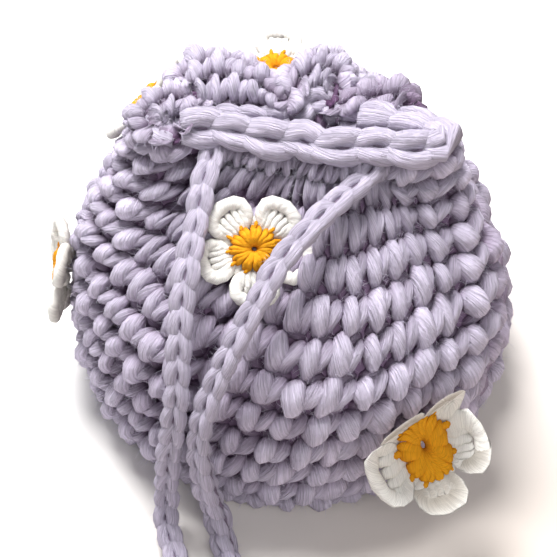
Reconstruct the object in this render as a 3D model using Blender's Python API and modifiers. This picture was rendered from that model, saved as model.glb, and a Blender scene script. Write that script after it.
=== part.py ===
"""Drawstring dice bag: a crocheted pouch gathered at the top, with five sewn-on daisies.

Metres, +Z up, the origin at the middle of the base on the table. The front faces -Y.
The base, the side wall and the front of the neck stay still. Four neck lobes lean
back to open the mouth, the two tails of the drawstring pull forward, and each daisy
tips on the stitch that holds it.
"""

import math

import bmesh
import bpy
from mathutils import Matrix, Vector

# Overall shape of the pouch
FOOT_RADIUS = 0.046
BELLY_RADIUS = 0.054
BELLY_Z = 0.029
SHOULDER_HEIGHT = 0.078
WALL_FOOT_Z = 0.0015
HINGE_Z = 0.044
NECK_Z = 0.082
FABRIC = 0.0032
BASE_THICKNESS = 0.0035

# The gathered mouth
EDGE_DIAMETER = 0.0065
POST_DIAMETER = 0.004
CORD_DIAMETER = 0.0065
CORD_CLEARANCE = 0.00075
EDGE_END_GAP = 0.0058

# Daisies
PETAL_REACH = 0.0150
PETAL_NOTCH = 0.0115
PETALS = 5
PETAL_TURN = 50
PETAL_THICKNESS = 0.0018
PETAL_LIFT = 0.0027
CENTRE_DIAMETER = 0.0130
CENTRE_THICKNESS = 0.0030
TACK_DIAMETER = 0.0030

KNOT_DIAMETER = 0.0090
GAP = 0.0003
NECK_TOP_SLANT = 0.15
SEAM_GAP = 0.0014

# Segments and steps
AROUND = 72
WALL_ROWS = 9
LOBE_ROWS = 8
DEGREES_PER_COLUMN = 4.5
DISC_SIDES = 16

CORD_Z = NECK_Z + CORD_CLEARANCE + CORD_DIAMETER / 2
EDGE_Z = CORD_Z + CORD_DIAMETER / 2 + GAP + EDGE_DIAMETER / 2

# The gathered rim seen from above: stitch azimuth in degrees, then x and y in metres.
# It runs from the right-front ridge around the back to the sunk front.
RIM_START = -17
RIM_OUTLINE = (
    (-17, 0.0365, -0.0060),
    (-5, 0.0330, 0.0005),
    (4, 0.0260, 0.0040),
    (14, 0.0285, 0.0090),
    (26, 0.0290, 0.0140),
    (37, 0.0200, 0.0155),
    (47, 0.0090, 0.0105),
    (58, 0.0120, 0.0210),
    (72, 0.0090, 0.0280),
    (86, 0.0010, 0.0230),
    (98, -0.0030, 0.0110),
    (110, -0.0100, 0.0220),
    (128, -0.0210, 0.0280),
    (143, -0.0290, 0.0210),
    (155, -0.0255, 0.0130),
    (167, -0.0335, 0.0115),
    (182, -0.0390, 0.0045),
    (195, -0.0340, -0.0020),
    (207, -0.0230, -0.0025),
    (235, -0.0080, -0.0055),
    (265, 0.0025, -0.0090),
    (290, 0.0100, -0.0090),
    (318, 0.0210, -0.0080),
    (333, 0.0290, -0.0095),
)

# Neck sections between the creases: name, first and last azimuth, azimuths of the posts.
SECTIONS = (
    ("front", 200, 364, (226, 250, 272, 294, 334, 350)),
    ("right", 4, 47, (10, 31)),
    ("rear_right", 47, 98, (72,)),
    ("rear_left", 98, 155, (120, 132, 143)),
    ("left", 155, 200, (170, 184)),
)

# The part of the drawstring inside the neck, threaded around the back of the mouth.
RING_ROUTE = (
    (0.0190, 0.0060),
    (0.0172, 0.0125),
    (0.0110, 0.0170),
    (0.0020, 0.0190),
    (-0.0080, 0.0190),
    (-0.0165, 0.0165),
    (-0.0205, 0.0108),
)
RING_SECTIONS = (("right", 4, 47), ("rear_right", 47, 98), ("rear_left", 98, 155))

# The two tails, from inside the neck over the front, down to the table and along it.
LEFT_TAIL_ROUTE = (
    (-0.0205, 0.0100, CORD_Z),
    (-0.0205, 0.0020, CORD_Z),
    (-0.0205, -0.0060, CORD_Z),
    (-0.0224, -0.0138, 0.0845),
    (-0.0239, -0.0222, 0.0799),
    (-0.0265, -0.0330, 0.0737),
    (-0.0276, -0.0409, 0.0660),
    (-0.0283, -0.0482, 0.0562),
    (-0.0295, -0.0535, 0.0440),
    (-0.0314, -0.0549, 0.0270),
    (-0.0324, -0.0555, 0.0130),
    (-0.0320, -0.0610, 0.0052),
    (-0.0294, -0.0720, 0.0033),
    (-0.0320, -0.0860, 0.0033),
    (-0.0430, -0.0980, 0.0033),
    (-0.0580, -0.1030, 0.0033),
    (-0.0720, -0.1010, 0.0033),
)
RIGHT_TAIL_ROUTE = (
    (0.0190, 0.0050, CORD_Z),
    (0.0190, -0.0040, CORD_Z),
    (0.0190, -0.0110, CORD_Z),
    (0.0107, -0.0197, 0.0848),
    (0.0042, -0.0274, 0.0838),
    (-0.0021, -0.0335, 0.0801),
    (-0.0070, -0.0396, 0.0750),
    (-0.0125, -0.0462, 0.0670),
    (-0.0172, -0.0510, 0.0585),
    (-0.0210, -0.0550, 0.0490),
    (-0.0232, -0.0575, 0.0365),
    (-0.0221, -0.0590, 0.0240),
    (-0.0193, -0.0600, 0.0110),
    (-0.0170, -0.0660, 0.0042),
    (-0.0135, -0.0770, 0.0033),
    (-0.0050, -0.0900, 0.0033),
    (0.0090, -0.0990, 0.0033),
    (0.0250, -0.1010, 0.0033),
    (0.0400, -0.0970, 0.0033),
)
TAIL_SPACING = 2.0 * CORD_DIAMETER

# Daisies: name, azimuth in degrees and height of the stitch that holds them, then how far
# the flower is tilted to face upwards in degrees, and how far it hangs off the fabric.
DAISIES = (
    ("front", 246, 0.0705, 0, 0),
    ("lower_right", -55, 0.025, 35, 0.0085),
    ("left", 180, 0.038, 0, 0),
    ("rear_left", 140, 0.066, 0, 0),
    ("rear", 84, 0.063, 0, 0),
)


def clear_scene():
    for obj in list(bpy.data.objects):
        bpy.data.objects.remove(obj, do_unlink=True)


def material(name, colour, roughness):
    made = bpy.data.materials.new(name)
    made.use_nodes = True
    shader = made.node_tree.nodes["Principled BSDF"]
    shader.inputs["Base Color"].default_value = (*colour, 1.0)
    shader.inputs["Roughness"].default_value = roughness
    shader.inputs["Metallic"].default_value = 0.0
    made.diffuse_color = (*colour, 1.0)
    return made


def add_mesh(name, mesh, looks):
    obj = bpy.data.objects.new(name, mesh)
    mesh.materials.append(looks)
    for polygon in mesh.polygons:
        polygon.use_smooth = True
    PARTS.objects.link(obj)
    return obj


def hermite(before, start, end, after, share):
    """The point at this share of the way from start to end on a smooth curve."""
    enter = (end - before) / 2
    leave = (after - start) / 2
    s2 = share * share
    s3 = s2 * share
    return (
        start * (2 * s3 - 3 * s2 + 1)
        + enter * (s3 - 2 * s2 + share)
        + end * (3 * s2 - 2 * s3)
        + leave * (s3 - s2)
    )


def smooth_route(points, spacing):
    """Points about this far apart on a smooth curve through the route's own points."""
    fine = []
    steps = 24
    padded = [points[0] * 2 - points[1], *points, points[-1] * 2 - points[-2]]
    for before, start, end, after in zip(padded, padded[1:], padded[2:], padded[3:]):
        for step in range(steps):
            fine.append(hermite(before, start, end, after, step / steps))
    fine.append(points[-1])
    along = [0.0]
    for first, second in zip(fine, fine[1:]):
        along.append(along[-1] + (second - first).length)
    count = max(2, round(along[-1] / spacing))
    route = [fine[0]]
    index = 0
    for number in range(1, count):
        target = along[-1] * number / count
        while along[index + 1] < target:
            index += 1
        share = (target - along[index]) / (along[index + 1] - along[index])
        route.append(fine[index].lerp(fine[index + 1], share))
    return [*route, fine[-1]]


def profile_radius(z):
    """The outer radius of the round pouch at this height, before it is gathered."""
    if z < BELLY_Z:
        share = (BELLY_Z - z) / (BELLY_Z - WALL_FOOT_Z)
        return BELLY_RADIUS - (BELLY_RADIUS - FOOT_RADIUS) * share**3
    return BELLY_RADIUS * math.sqrt(1 - ((z - BELLY_Z) / SHOULDER_HEIGHT) ** 2)


def rim_point(azimuth):
    """The point of the gathered rim that the stitch column at this azimuth runs to."""
    azimuth = (azimuth - RIM_START) % 360 + RIM_START
    count = len(RIM_OUTLINE)
    index = max(i for i in range(count) if RIM_OUTLINE[i][0] <= azimuth)
    degrees = []
    points = []
    for near in range(index - 1, index + 3):
        turn, place = divmod(near, count)
        degrees.append(RIM_OUTLINE[place][0] + 360 * turn)
        points.append(Vector(RIM_OUTLINE[place][1:]))
    width = degrees[2] - degrees[1]
    share = (azimuth - degrees[1]) / width
    enter = (points[2] - points[0]) * (width / (degrees[2] - degrees[0]))
    leave = (points[3] - points[1]) * (width / (degrees[3] - degrees[1]))
    return hermite(points[2] - enter * 2, points[1], points[2], points[1] + leave * 2, share)


def surface(azimuth, z):
    """A point of the pouch's outer surface: round below the hinge line, gathered above."""
    turn = math.radians(azimuth)
    round_part = Vector((math.cos(turn), math.sin(turn))) * profile_radius(z)
    gather = (max(0.0, z - HINGE_Z) / (NECK_Z - HINGE_Z)) ** 2
    place = round_part.lerp(rim_point(azimuth), gather)
    return Vector((place.x, place.y, z))


def surface_normal(azimuth, z):
    step = 0.0005
    sideways = surface(azimuth + 0.5, z) - surface(azimuth - 0.5, z)
    upward = surface(azimuth, z + step) - surface(azimuth, z - step)
    return sideways.cross(upward).normalized()


def degrees_for(distance, azimuth, z):
    """How many degrees of stitch columns this distance takes at a point of the surface."""
    return distance / (surface(azimuth + 0.5, z) - surface(azimuth - 0.5, z)).length


def add_base(looks):
    radius = FOOT_RADIUS - FABRIC - 2 * GAP
    bpy.ops.mesh.primitive_cylinder_add(
        vertices=AROUND,
        radius=radius,
        depth=BASE_THICKNESS,
        location=(0, 0, BASE_THICKNESS / 2),
    )
    base = bpy.context.object
    base.name = "base"
    base.data.materials.append(looks)
    base.users_collection[0].objects.unlink(base)
    PARTS.objects.link(base)
    round_over = base.modifiers.new("rounded edge", "BEVEL")
    round_over.width = BASE_THICKNESS / 4
    round_over.segments = 2
    base.data.shade_smooth()


def add_side_wall(looks):
    """The round wall: a profile turned about Z, then thickened inwards."""
    top = HINGE_Z - SEAM_GAP / 2
    heights = [top + (WALL_FOOT_Z - top) * row / WALL_ROWS for row in range(WALL_ROWS + 1)]
    points = [(profile_radius(z), 0, z) for z in heights]
    edges = [(row, row + 1) for row in range(WALL_ROWS)]
    mesh = bpy.data.meshes.new("side_wall")
    mesh.from_pydata(points, edges, [])
    wall = add_mesh("side_wall", mesh, looks)
    turn = wall.modifiers.new("turned", "SCREW")
    turn.steps = AROUND
    turn.render_steps = AROUND
    turn.use_merge_vertices = True
    turn.merge_threshold = 0.00005
    turn.use_smooth_shade = True
    thicken(wall)


def thicken(obj):
    shell = obj.modifiers.new("fabric", "SOLIDIFY")
    shell.thickness = FABRIC
    shell.offset = -1


def add_shoulder(name, first, last, looks):
    """One section of the gathered neck, a loft from the round wall to the folded rim."""
    bottom = HINGE_Z + SEAM_GAP / 2
    columns = round((last - first) / DEGREES_PER_COLUMN)
    grid = bmesh.new()
    rows = []
    for row in range(LOBE_ROWS + 1):
        z = bottom + (NECK_Z - bottom) * row / LOBE_ROWS
        low = first + degrees_for(GAP, first, z)
        high = last - degrees_for(GAP, last, z)
        azimuths = [low + (high - low) * i / columns for i in range(columns + 1)]
        rows.append([grid.verts.new(surface(azimuth, z)) for azimuth in azimuths])
    for lower, upper in zip(rows, rows[1:]):
        for column in range(columns):
            corners = (lower[column], lower[column + 1], upper[column + 1], upper[column])
            grid.faces.new(corners)
    mesh = bpy.data.meshes.new(f"shoulder_{name}")
    grid.to_mesh(mesh)
    grid.free()
    thicken(add_mesh(f"shoulder_{name}", mesh, looks))


def middle_of_fabric(azimuth, z):
    """A point above the neck's top edge, at the middle of its thickness."""
    point = surface(azimuth, NECK_Z)
    normal = surface_normal(azimuth, NECK_Z - GAP)
    normal.z = 0
    point -= normal.normalized() * FABRIC / 2
    return Vector((point.x, point.y, z))


def add_tube(name, points, diameter, looks):
    curve = bpy.data.curves.new(name, "CURVE")
    curve.dimensions = "3D"
    curve.bevel_depth = diameter / 2
    curve.bevel_resolution = 2
    curve.use_fill_caps = True
    line = curve.splines.new("POLY")
    line.points.add(len(points) - 1)
    for target, point in zip(line.points, points):
        target.co = (*point, 1)
    curve.materials.append(looks)
    tube = bpy.data.objects.new(name, curve)
    PARTS.objects.link(tube)
    return tube


def add_rim_edge(name, first, last, looks):
    """The braided edge of one neck section, held above the drawstring's layer."""
    low = first + degrees_for(EDGE_END_GAP, first, NECK_Z)
    high = last - degrees_for(EDGE_END_GAP, last, NECK_Z)
    count = max(4, round((high - low) / DEGREES_PER_COLUMN))
    azimuths = [low + (high - low) * i / count for i in range(count + 1)]
    points = [middle_of_fabric(azimuth, EDGE_Z) for azimuth in azimuths]
    route = smooth_route(points, EDGE_DIAMETER * 0.8)
    add_tube(f"rim_edge_{name}", route, EDGE_DIAMETER, looks)


def add_posts(name, azimuths, looks):
    """The stitches that carry the rim edge, with the eyelets between them."""
    low = NECK_Z + GAP + FABRIC * NECK_TOP_SLANT
    high = EDGE_Z - EDGE_DIAMETER / 2 - GAP
    for number, azimuth in enumerate(azimuths, 1):
        foot = middle_of_fabric(azimuth, low)
        post = f"eyelet_post_{name}_{number}"
        add_disc(post, POST_DIAMETER / 2, foot, high - low, looks)


def add_ring(looks):
    """The drawstring inside the neck, in one length for each lobe that it passes."""
    fine = smooth_route([Vector((*point, CORD_Z)) for point in RING_ROUTE], CORD_DIAMETER / 6)
    for name, first, last in RING_SECTIONS:
        inside = [point for point in fine if first < azimuth_of(point) < last]
        start = GAP + CORD_DIAMETER * 0.15
        kept = [p for p in inside if (p - inside[0]).length >= start]
        kept = [p for p in kept if (p - inside[-1]).length >= start]
        add_tube(f"drawstring_{name}", smooth_route(kept, CORD_DIAMETER), CORD_DIAMETER, looks)


def azimuth_of(point):
    return math.degrees(math.atan2(point.y, point.x)) % 360


def add_tail(side, route, looks):
    """One tail and the knot at its end, lying on the table."""
    points = [Vector(point) for point in route]
    along = (points[-1] - points[-2]).normalized()
    middle = points[-1] + along * (KNOT_DIAMETER / 2 + GAP)
    middle.z = KNOT_DIAMETER / 2
    tube = add_tube(f"{side}_tail", smooth_route(points, TAIL_SPACING), CORD_DIAMETER, looks)
    bpy.ops.mesh.primitive_uv_sphere_add(
        segments=16, ring_count=10, radius=KNOT_DIAMETER / 2, location=middle
    )
    knot = bpy.context.object
    knot.name = f"{side}_knot"
    knot.data.materials.append(looks)
    knot.users_collection[0].objects.unlink(knot)
    PARTS.objects.link(knot)
    knot.data.shade_smooth()
    return tube


def flat_outline(name, loops, thickness, looks):
    """A flat piece from closed outlines; an inner outline is a hole."""
    curve = bpy.data.curves.new(name, "CURVE")
    curve.dimensions = "2D"
    curve.fill_mode = "BOTH"
    curve.extrude = thickness / 2
    for loop in loops:
        line = curve.splines.new("POLY")
        line.points.add(len(loop) - 1)
        line.use_cyclic_u = True
        for target, (x, y) in zip(line.points, loop):
            target.co = (x, y, 0, 1)
    curve.materials.append(looks)
    piece = bpy.data.objects.new(name, curve)
    PARTS.objects.link(piece)
    return piece


def petal_outline():
    """Round petals with a notch between each pair."""
    points = []
    count = PETALS * 8
    for step in range(count):
        share = 2 * math.pi * step / count
        swell = abs(math.cos(PETALS * share / 2)) ** 0.6
        reach = PETAL_NOTCH + (PETAL_REACH - PETAL_NOTCH) * swell
        turn = share + math.radians(PETAL_TURN)
        points.append((reach * math.cos(turn), reach * math.sin(turn)))
    return points


def circle(radius, count):
    turns = [2 * math.pi * step / count for step in range(count)]
    return [(radius * math.cos(turn), radius * math.sin(turn)) for turn in turns]


def add_disc(name, radius, foot, height, looks, parent=None):
    """A short round piece standing on its foot, along its parent's Z."""
    disc = bmesh.new()
    bmesh.ops.create_cone(
        disc,
        cap_ends=True,
        segments=DISC_SIDES,
        radius1=radius,
        radius2=radius,
        depth=height,
        matrix=Matrix.Translation((0, 0, height / 2)),
    )
    mesh = bpy.data.meshes.new(name)
    disc.to_mesh(mesh)
    disc.free()
    piece = add_mesh(name, mesh, looks)
    piece.parent = parent
    piece.location = foot


def add_daisy(name, azimuth, z, tilt, stand, petal_looks, centre_looks):
    """A daisy standing off the fabric on the stitch that it tips on."""
    slope = math.radians(tilt)
    normal = surface_normal(azimuth, z)
    middle = surface(azimuth, z) + normal * stand
    sideways = Vector((0, 0, 1)).cross(normal).normalized()
    normal.rotate(Matrix.Rotation(-slope, 3, sideways))
    upward = normal.cross(sideways)
    turned = Matrix((sideways, upward, normal)).transposed().to_4x4()
    hinge = bpy.data.objects.new(f"daisy_{name}_hinge", None)
    hinge.empty_display_size = 0.005
    hinge.matrix_world = Matrix.Translation(middle) @ turned
    PARTS.objects.link(hinge)
    outlines = (petal_outline(), circle(CENTRE_DIAMETER / 2 + GAP, 24))
    petals = flat_outline(f"daisy_{name}_petals", outlines, PETAL_THICKNESS, petal_looks)
    petals.parent = hinge
    petals.location.z = PETAL_LIFT + PETAL_THICKNESS / 2
    centre_low = PETAL_LIFT + GAP
    foot = (0, 0, centre_low)
    name_of_centre = f"daisy_{name}_centre"
    add_disc(name_of_centre, CENTRE_DIAMETER / 2, foot, CENTRE_THICKNESS, centre_looks, hinge)
    low = 2 * GAP + math.tan(slope) * TACK_DIAMETER / 2 - stand / math.cos(slope)
    foot = (0, 0, low)
    height = centre_low - GAP - low
    add_disc(f"daisy_{name}_tack", TACK_DIAMETER / 2, foot, height, petal_looks, hinge)


def main():
    yarn = material("lavender_yarn", (0.50, 0.45, 0.62), 0.95)
    white = material("white_cotton", (0.85, 0.84, 0.80), 0.9)
    yellow = material("yellow_cotton", (0.80, 0.35, 0.02), 0.9)
    add_base(yarn)
    add_side_wall(yarn)
    for name, first, last, posts in SECTIONS:
        add_shoulder(name, first, last, yarn)
        add_posts(name, posts, yarn)
        add_rim_edge(name, first, last, yarn)
    add_ring(yarn)
    add_tail("left", LEFT_TAIL_ROUTE, yarn)
    add_tail("right", RIGHT_TAIL_ROUTE, yarn)
    for name, azimuth, z, tilt, stand in DAISIES:
        add_daisy(name, azimuth, z, tilt, stand, white, yellow)


clear_scene()
PARTS = bpy.data.collections.new("drawstring_dice_bag")
bpy.context.scene.collection.children.link(PARTS)
main()
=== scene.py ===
"""Looks of the drawstring dice bag: crochet stitches, braided cord, daisies and light."""

import math

import bpy
import numpy as np
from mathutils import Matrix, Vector


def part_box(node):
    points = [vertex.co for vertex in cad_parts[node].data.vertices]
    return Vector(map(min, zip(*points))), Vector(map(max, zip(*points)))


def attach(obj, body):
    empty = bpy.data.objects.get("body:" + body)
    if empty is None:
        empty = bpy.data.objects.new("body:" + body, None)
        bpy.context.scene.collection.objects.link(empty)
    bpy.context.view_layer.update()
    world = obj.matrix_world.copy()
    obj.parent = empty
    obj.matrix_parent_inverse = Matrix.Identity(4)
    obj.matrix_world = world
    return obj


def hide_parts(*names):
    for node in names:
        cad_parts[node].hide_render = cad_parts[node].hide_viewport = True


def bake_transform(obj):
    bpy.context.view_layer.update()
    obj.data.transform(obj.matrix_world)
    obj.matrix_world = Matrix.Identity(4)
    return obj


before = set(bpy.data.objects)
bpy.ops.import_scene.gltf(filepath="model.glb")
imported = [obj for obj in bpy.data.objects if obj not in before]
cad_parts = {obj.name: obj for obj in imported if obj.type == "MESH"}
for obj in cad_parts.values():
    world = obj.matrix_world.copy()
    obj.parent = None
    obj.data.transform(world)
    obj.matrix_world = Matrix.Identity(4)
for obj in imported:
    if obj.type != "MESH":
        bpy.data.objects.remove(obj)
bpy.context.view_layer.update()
RNG = np.random.default_rng(7)

# Shape of the pouch, the same as the solids of the frame. All lengths are in metres.
FOOT_RADIUS = 0.046
BELLY_RADIUS = 0.054
BELLY_Z = 0.029
SHOULDER_HEIGHT = 0.078
WALL_FOOT_Z = 0.0015
HINGE_Z = 0.044
NECK_Z = 0.082
FABRIC = 0.0032
CORD_Z = 0.086
EDGE_Z = 0.0928
TABLE_GAP = 0.0002

# The gathered rim seen from above: stitch azimuth in degrees, x and y of the rim, then x and y
# of where the fabric ends after the rear folds roll in over the drawstring.
OUTLINES = (
    (-17, 0.0365, -0.0060, 0.0365, -0.0060),
    (-5, 0.0330, 0.0005, 0.0350, -0.0010),
    (4, 0.0260, 0.0040, 0.0310, 0.0020),
    (14, 0.0285, 0.0090, 0.0290, 0.0035),
    (26, 0.0290, 0.0140, 0.0240, 0.0030),
    (37, 0.0200, 0.0155, 0.0180, 0.0025),
    (47, 0.0090, 0.0105, 0.0125, 0.0045),
    (58, 0.0120, 0.0210, 0.0110, 0.0080),
    (72, 0.0090, 0.0280, 0.0070, 0.0095),
    (86, 0.0010, 0.0230, 0.0030, 0.0085),
    (98, -0.0030, 0.0110, -0.0010, 0.0050),
    (110, -0.0100, 0.0220, -0.0060, 0.0030),
    (128, -0.0210, 0.0280, -0.0150, 0.0030),
    (143, -0.0290, 0.0210, -0.0215, 0.0035),
    (155, -0.0255, 0.0130, -0.0245, 0.0045),
    (167, -0.0335, 0.0115, -0.0295, 0.0055),
    (182, -0.0390, 0.0045, -0.0350, 0.0025),
    (195, -0.0340, -0.0020, -0.0340, -0.0020),
    (207, -0.0230, -0.0025, -0.0230, -0.0025),
    (235, -0.0080, -0.0055, -0.0080, -0.0055),
    (265, 0.0025, -0.0090, 0.0025, -0.0090),
    (290, 0.0100, -0.0090, 0.0100, -0.0090),
    (318, 0.0210, -0.0080, 0.0210, -0.0080),
    (333, 0.0290, -0.0095, 0.0290, -0.0095),
)
# Above ROLL_START the grid's height stands for the way along the rolled-in fold. The roll covers
# ROLL_HALF degrees on each side of ROLL_MIDDLE and fades out over ROLL_FADE degrees.
ROLL_START = 0.0855
ROLL_LENGTH = 0.0220
ROLL_RISE = 0.0050
ROLL_END_RISE = 0.001
ROLL_CROWN = 0.8
ROLL_MIDDLE = 102
ROLL_HALF = 98
ROLL_FADE = 6

# Pleats that run down from the neck: azimuth at the top and at the foot of the pleat, height
# of its foot, half width in degrees, and how far it pushes the fabric out in metres.
# Pleats that push the fabric in also get painted shade on their yarn, see pleat_shade.
PLEATS = (
    (6, -30, 0.008, 9, -0.0240),
    (-12, -48, 0.010, 11, 0.0050),
    (24, 6, 0.014, 16, -0.0080),
    (47, 44, 0.040, 8, -0.0050),
    (72, 70, 0.045, 12, 0.0015),
    (98, 98, 0.040, 8, -0.0060),
    (128, 128, 0.045, 14, 0.0015),
    (155, 158, 0.038, 8, -0.0050),
    (182, 186, 0.040, 10, 0.0025),
    (262, 240, 0.012, 15, -0.0070),
    (210, 216, 0.010, 20, -0.0045),
)
# A pleat is deepest at PLEAT_DEPTH_Z, and loses PLEAT_CLOSING of its depth from there to the neck.
PLEAT_DEPTH_Z = 0.066
PLEAT_CLOSING = 0.6
# Painted shade: the yarn is darker inside a pleat, over a wider band than the pleat itself.
SHADE_PER_METRE = 50
SHADE_SPREAD = 1.5
SHADE_RUN_IN = 0.02
PLEAT_DARKENING = 0.90

# Neck sections: name, body, first and last azimuth, eyelet posts of the frame.
SECTIONS = (
    ("front", "pouch", 200, 364, 6),
    ("right", "right_lobe", 4, 47, 2),
    ("rear_right", "rear_right_lobe", 47, 98, 1),
    ("rear_left", "rear_left_lobe", 98, 155, 3),
    ("left", "left_lobe", 155, 200, 2),
)

LEFT_TAIL_ROUTE = (
    (-0.0205, 0.0100, CORD_Z),
    (-0.0205, 0.0020, CORD_Z),
    (-0.0205, -0.0060, CORD_Z),
    (-0.0224, -0.0138, 0.0845),
    (-0.0239, -0.0222, 0.0799),
    (-0.0265, -0.0330, 0.0737),
    (-0.0276, -0.0409, 0.0660),
    (-0.0283, -0.0482, 0.0562),
    (-0.0295, -0.0535, 0.0440),
    (-0.0314, -0.0549, 0.0270),
    (-0.0324, -0.0555, 0.0130),
    (-0.0320, -0.0610, 0.0052),
    (-0.0294, -0.0720, 0.0033),
    (-0.0320, -0.0860, 0.0033),
    (-0.0430, -0.0980, 0.0033),
    (-0.0580, -0.1030, 0.0033),
    (-0.0720, -0.1010, 0.0033),
)
RIGHT_TAIL_ROUTE = (
    (0.0190, 0.0050, CORD_Z),
    (0.0190, -0.0040, CORD_Z),
    (0.0190, -0.0110, CORD_Z),
    (0.0107, -0.0197, 0.0848),
    (0.0042, -0.0274, 0.0838),
    (-0.0021, -0.0335, 0.0801),
    (-0.0070, -0.0396, 0.0750),
    (-0.0125, -0.0462, 0.0670),
    (-0.0172, -0.0510, 0.0585),
    (-0.0210, -0.0550, 0.0490),
    (-0.0232, -0.0575, 0.0365),
    (-0.0221, -0.0590, 0.0240),
    (-0.0193, -0.0600, 0.0110),
    (-0.0170, -0.0660, 0.0042),
    (-0.0135, -0.0770, 0.0033),
    (-0.0050, -0.0900, 0.0033),
    (0.0090, -0.0990, 0.0033),
    (0.0250, -0.1010, 0.0033),
    (0.0400, -0.0970, 0.0033),
)

# Crochet: stitches in a round, how far each round leans on by, in stitches, and the height of
# the middle of each round.
STITCHES = 40
LEAN = 0.45
WALL_ROUNDS = (0.0050, 0.0131, 0.0219, 0.0308, 0.0397)
NECK_ROUNDS = (0.0484, 0.0561, 0.0627, 0.0687, 0.0744, 0.0801)
EYELET_ROUND = 0.0865
# The rear folds have more rounds, rolled in over the drawstring.
ROLL_ROUNDS = (0.0925, 0.0985)
ROLL_EDGE = 0.1045


# ---------- smooth curves


def hermite(before, start, end, after, share):
    """The curve from start to end, shaped by the points before and after them."""
    enter = (end - before) / 2
    leave = (after - start) / 2
    s2 = share * share
    s3 = s2 * share
    return (
        start * (2 * s3 - 3 * s2 + 1)
        + enter * (s3 - 2 * s2 + share)
        + end * (3 * s2 - 2 * s3)
        + leave * (s3 - s2)
    )


def lengths_along(route):
    """Length from the start of a route to each of its points."""
    steps = np.linalg.norm(np.diff(route, axis=0), axis=1)
    return np.concatenate([[0], np.cumsum(steps)])


def even_route(points, spacing):
    """Points evenly spaced on a smooth curve through the given ones, as an array."""
    points = [np.array(point, float) for point in points]
    padded = [points[0] * 2 - points[1], *points, points[-1] * 2 - points[-2]]
    fine = []
    for before, start, end, after in zip(padded, padded[1:], padded[2:], padded[3:]):
        for share in np.arange(0, 1, 1 / 24):
            fine.append(hermite(before, start, end, after, share))
    fine = np.array([*fine, points[-1]])
    along = lengths_along(fine)
    count = max(2, round(along[-1] / spacing))
    wanted = np.linspace(0, along[-1], count + 1)
    return np.stack([np.interp(wanted, along, fine[:, k]) for k in range(3)], axis=1)


def unit(vectors):
    return vectors / np.maximum(np.linalg.norm(vectors, axis=-1, keepdims=True), 1e-12)


def carried_frames(route, normal):
    """Tangents, sideways and outward directions carried along a route without twist."""
    tangents = unit(np.gradient(route, axis=0))
    outward = np.empty_like(route)
    current = np.array(normal, float)
    for index, tangent in enumerate(tangents):
        current = current - tangent * current.dot(tangent)
        current = current / np.linalg.norm(current)
        outward[index] = current
    return tangents, np.cross(outward, tangents), outward


# ---------- pouch surface


def profile_radius(z):
    """Radius of the plain round pouch at this height, before it is gathered and pleated."""
    below = np.clip((BELLY_Z - z) / (BELLY_Z - WALL_FOOT_Z), 0, 1.2)
    above = np.clip((z - BELLY_Z) / SHOULDER_HEIGHT, 0, 0.95)
    lower = BELLY_RADIUS - (BELLY_RADIUS - FOOT_RADIUS) * below**3
    return np.where(z < BELLY_Z, lower, BELLY_RADIUS * np.sqrt(1 - above**2))


def outlines_at(azimuths):
    """The rim and the rolled-in outline seen from above, at these azimuths in degrees."""
    keys = np.array(OUTLINES)
    turn = np.array([360, 0, 0, 0, 0])
    keys = np.vstack([keys[-3:] - turn, keys, keys[:3] + turn])
    start = OUTLINES[0][0]
    azimuths = (azimuths - start) % 360 + start
    place = np.searchsorted(keys[:, 0], azimuths, side="right") - 1
    near = [keys[place + offset] for offset in (-1, 0, 1, 2)]
    width = near[2][:, :1] - near[1][:, :1]
    share = (azimuths[:, None] - near[1][:, :1]) / width
    enter = (near[2][:, 1:] - near[0][:, 1:]) * (width / (near[2][:, :1] - near[0][:, :1]))
    leave = (near[3][:, 1:] - near[1][:, 1:]) * (width / (near[3][:, :1] - near[1][:, :1]))
    start_point = near[1][:, 1:]
    end_point = near[2][:, 1:]
    before = end_point - enter * 2
    after = start_point + leave * 2
    both = hermite(before, start_point, end_point, after, share)
    return both[:, :2], both[:, 2:]


# The grid that the surface is looked up in, in degrees and metres.
GRID_AZIMUTHS = np.arange(0, 360, 1.0)
GRID_HEIGHTS = np.arange(-0.006, 0.1121, 0.001)


def pleat_depth(z):
    """How far the pleats push the fabric out at this height, for each azimuth of the grid."""
    total = np.zeros(len(GRID_AZIMUTHS))
    for top, foot, low, width, depth in PLEATS:
        along = np.clip((z - low) / (NECK_Z - low), 0, 1)
        centre = foot + (top - foot) * along
        aside = (GRID_AZIMUTHS - centre + 180) % 360 - 180
        grown = np.clip((z - low) / (PLEAT_DEPTH_Z - low), 0, 1)
        eased = grown * grown * (3 - 2 * grown)
        closing = np.clip((z - PLEAT_DEPTH_Z) / (NECK_Z - PLEAT_DEPTH_Z), 0, 1)
        open_share = 1 - PLEAT_CLOSING * closing
        total += depth * eased * open_share * np.exp(-((aside / width) ** 2))
    return total


def pleat_shade(azimuths, heights):
    """Painted shade of the pleats: from 0 in the open to 1 at the bottom of the deepest pleat."""
    total = np.zeros(np.shape(azimuths))
    for top, foot, low, width, depth in PLEATS:
        if depth < 0:
            along = np.clip((heights - low) / (NECK_Z - low), 0, 1)
            aside = (azimuths - foot - (top - foot) * along + 180) % 360 - 180
            grown = np.clip((heights - low) / SHADE_RUN_IN, 0, 1)
            band = np.exp(-((aside / (SHADE_SPREAD * width)) ** 2))
            total += SHADE_PER_METRE * -depth * grown * band
    return np.clip(total, 0, 1)


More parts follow.
